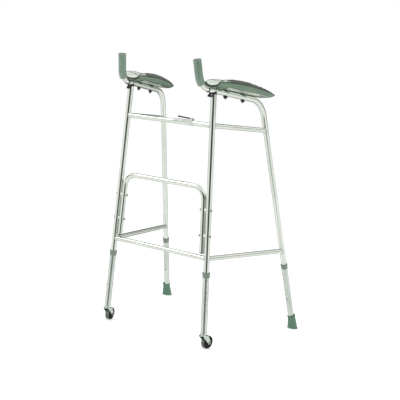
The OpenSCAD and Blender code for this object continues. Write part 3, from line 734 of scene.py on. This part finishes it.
def hub_mesh():
    near, far = both_faces([
        (3.1, HALF_W + 1), (5.4, HALF_W + 1), (6.0, HALF_W + 0.4), (6.2, HUB_FACE - 1), (7.4, 4.6),
        (13.4, 4.2), (14.2, HUB_FACE - 0.8), (14.8, HUB_FACE), (16.6, HUB_FACE), (17.0, HUB_FACE - 0.4)])
    webs = [spoke(a, sign) for a in angles(SPOKES) for sign in (1, -1)]
    return joined([lathe(near + far, 72, loop=True)] + webs)


def wheels():
    tyre, hub = tyre_mesh(), hub_mesh()
    for name, s in SIDES.items():
        axle = castor_frame(s) @ shift(0, TRAIL, WHEEL_R) @ turn("Y", 90)
        wheel = make(f"tyre_grooved_{name}", *tyre, axle, f"wheel_{name}", "tyre",
                     replaces=[f"castor_tyre_{name}"])
        wheel.data.materials.append(TREAD)
        inverse = axle.inverted()
        for polygon in wheel.data.polygons:
            polygon.material_index = int((inverse @ polygon.center).xy.length / MM > TREAD_FROM_R)
        make(f"hub_spoked_{name}", *hub, axle, f"wheel_{name}", "dark_plastic",
             replaces=[f"castor_hub_{name}"], smooth_angle=35)


# ---- weld beads where the bars meet the legs ----
WELD_R, WELD_RIPPLE, RIPPLES, WELD_STEPS = 1.5, 0.18, 14, 56


def weld(point, bar_way, way):
    """A closed bead where a bar that starts on a leg's centre line at point comes out of the leg."""
    d, a = Vector(bar_way).normalized(), Vector(way).normalized()
    u = d.orthogonal().normalized()
    v = d.cross(u)
    across = d - a * d.dot(a)
    points = []
    for x in angles(WELD_STEPS):
        start = (u * math.cos(x) + v * math.sin(x)) * BAR_R
        off = start - a * start.dot(a)
        qa, qb, qc = across.dot(across), 2 * off.dot(across), off.dot(off) - TUBE_R * TUBE_R
        out = (-qb + math.sqrt(max(0, qb * qb - 4 * qa * qc))) / (2 * qa)
        points.append(tuple(point + start + d * out))
    radius = [WELD_R + WELD_RIPPLE * math.sin(RIPPLES * x) for x in angles(WELD_STEPS)]
    return sweep(points, radius, 8, True)


def weld_beads():
    parts = []
    for z in (UPPER_Z, LOWER_Z):
        parts.append(weld(leg_point(FRONT_FOOT_Y, FRONT_LEAN, z), (0, 1, 0), leg_way(FRONT_LEAN)))
        parts.append(weld(leg_point(REAR_FOOT_Y, REAR_RAKE, z), (0, -1, 0), leg_way(REAR_RAKE)))
    for name, s in SIDES.items():
        make(f"weld_side_{name}", *joined(parts), side_frame(s), "frame", "anodised_tube", WELD)
    parts = []
    for s in SIDES.values():
        way = side_frame(s).to_3x3() @ leg_way(FRONT_LEAN)
        for z in (UPPER_Z, LOWER_Z):
            point = side_frame(s) @ (leg_point(FRONT_FOOT_Y, FRONT_LEAN, z) * MM) / MM
            parts.append(weld(point, (-s, 0, 0), way))
    make("weld_front", *joined(parts), Matrix.Identity(4), "frame", "anodised_tube", WELD)


def bushes():
    """Plastic bush in each rail's nose, which the handle tube slides through."""
    profile = [(9.6, -6), (9.9, -6), (9.9, -0.2), (11.3, 0),
               (11.6, 0.5), (11.6, 1.8), (10.9, 2.6), (9.6, 2.8)]
    bush = lathe(profile, 48, loop=True)
    for name, s in SIDES.items():
        place = side_frame(s) @ shift(0, *rail_nose()) @ turn("X", 90 - RAIL_RISE)
        make(f"rail_bush_{name}", *bush, place, "frame", "dark_plastic")


gutter_shells()
pads()
grips()
feet()
wheels()
weld_beads()
bushes()


# ---- floor, light and camera ----
def stage_floor(reach=40, z=-0.0006):
    mesh = bpy.data.meshes.new("floor")
    corners = ((-1, -1), (1, -1), (1, 1), (-1, 1))
    mesh.from_pydata([(x * reach, y * reach, z) for x, y in corners], [], [(0, 1, 2, 3)])
    floor = bpy.data.objects.new("floor", mesh)
    bpy.context.scene.collection.objects.link(floor)
    pale = surface("floor_pale", (238, 238, 238), (236, 236, 236), (0.8, 0.9),
                   blotch=0.6, grain=60, bump=0.01, depth=0.0001, speckle=0.01)
    glow = pale.node_tree.nodes["Principled BSDF"].inputs
    glow["Emission Color"].default_value = (1, 1, 1, 1)
    glow["Emission Strength"].default_value = 0.38
    mesh.materials.append(pale)
    floor.visible_glossy = False


def area_light(name, place, size, power):
    """A soft rectangular light at place, aimed at the middle of the frame."""
    light = bpy.data.lights.new(name, "AREA")
    light.shape = "RECTANGLE"
    light.size, light.size_y = size
    light.energy = power
    obj = bpy.data.objects.new(name, light)
    obj.location = place
    obj.rotation_euler = (Vector((0, 0, 0.5)) - Vector(place)).to_track_quat("-Z", "Y").to_euler()
    bpy.context.scene.collection.objects.link(obj)


def greenish(grey, green=1.02, blue=0.99):
    return grey, grey * green, grey * blue


def ramp_node(nodes, stops):
    """A colour ramp from (position, (r, g, b)) stops, in rising order."""
    ramp = nodes.new("ShaderNodeValToRGB")
    elements = ramp.color_ramp.elements
    for element, (place, tint) in zip(elements, (stops[0], stops[-1])):
        element.position = place
        element.color = (*tint, 1)
    for place, tint in stops[1:-1]:
        elements.new(place).color = (*tint, 1)
    return ramp


def studio():
    """White to the camera; to the polished tubes, a bright room with dark ends and a dark stripe."""
    world = bpy.data.worlds.new("studio")
    world.use_nodes = True
    bpy.context.scene.world = world
    nodes, links = world.node_tree.nodes, world.node_tree.links
    coord = nodes.new("ShaderNodeTexCoord").outputs["Generated"]
    towards = nodes.new("ShaderNodeVectorMath")
    towards.operation = "DOT_PRODUCT"
    towards.inputs[1].default_value = (0.52, -0.85, 0.0)
    links.new(coord, towards.inputs[0])
    half = nodes.new("ShaderNodeMapRange")
    half.inputs["From Min"].default_value = -1
    links.new(towards.outputs["Value"], half.inputs["Value"])
    room = ramp_node(nodes, [
        (0.03, (0.10, 0.115, 0.10)), (0.11, greenish(0.36)), (0.18, greenish(0.95)),
        (0.86, greenish(1.0)), (0.93, greenish(0.25)), (0.99, (0.02, 0.024, 0.02))])
    links.new(half.outputs["Result"], room.inputs["Fac"])
    height = nodes.new("ShaderNodeSeparateXYZ")
    links.new(coord, height.inputs["Vector"])
    dark = greenish(0.22, 1.04, 0.98)
    stripe = ramp_node(nodes, [(0.04, (1, 1, 1)), (0.08, dark), (0.22, dark), (0.30, (1, 1, 1))])
    links.new(height.outputs["Z"], stripe.inputs["Fac"])
    shaded = nodes.new("ShaderNodeMix")
    shaded.data_type = "RGBA"
    shaded.blend_type = "MULTIPLY"
    shaded.inputs["Factor"].default_value = 1
    links.new(room.outputs["Color"], shaded.inputs["A"])
    links.new(stripe.outputs["Color"], shaded.inputs["B"])
    seen = nodes.new("ShaderNodeMix")
    seen.data_type = "RGBA"
    links.new(nodes.new("ShaderNodeLightPath").outputs["Is Camera Ray"], seen.inputs["Factor"])
    links.new(shaded.outputs["Result"], seen.inputs["A"])
    seen.inputs["B"].default_value = (1, 1, 1, 1)
    links.new(seen.outputs["Result"], nodes["Background"].inputs["Color"])
    nodes["Background"].inputs["Strength"].default_value = 1.0
    area_light("key", (-1.6, -2.4, 3.4), (2.2, 2.2), 34)
    area_light("fill", (3.2, 0.6, 2.6), (2.0, 2.6), 18)


def camera():
    data = bpy.data.cameras.new("camera")
    data.sensor_width = 36
    data.lens = 69.6
    data.clip_end = 100
    right, up, back = (0.8417, 0.5283, 0.1124), (-0.1567, 0.0396, 0.9870), (0.5169, -0.8482, 0.1160)
    place = Matrix((right, up, back)).transposed().to_4x4()
    place.translation = (1.6754, -2.7256, 0.9096)
    obj = bpy.data.objects.new("camera", data)
    obj.matrix_world = place
    bpy.context.scene.collection.objects.link(obj)
    bpy.context.scene.camera = obj


stage_floor()
studio()
camera()
bpy.context.scene.view_settings.view_transform = "Standard"
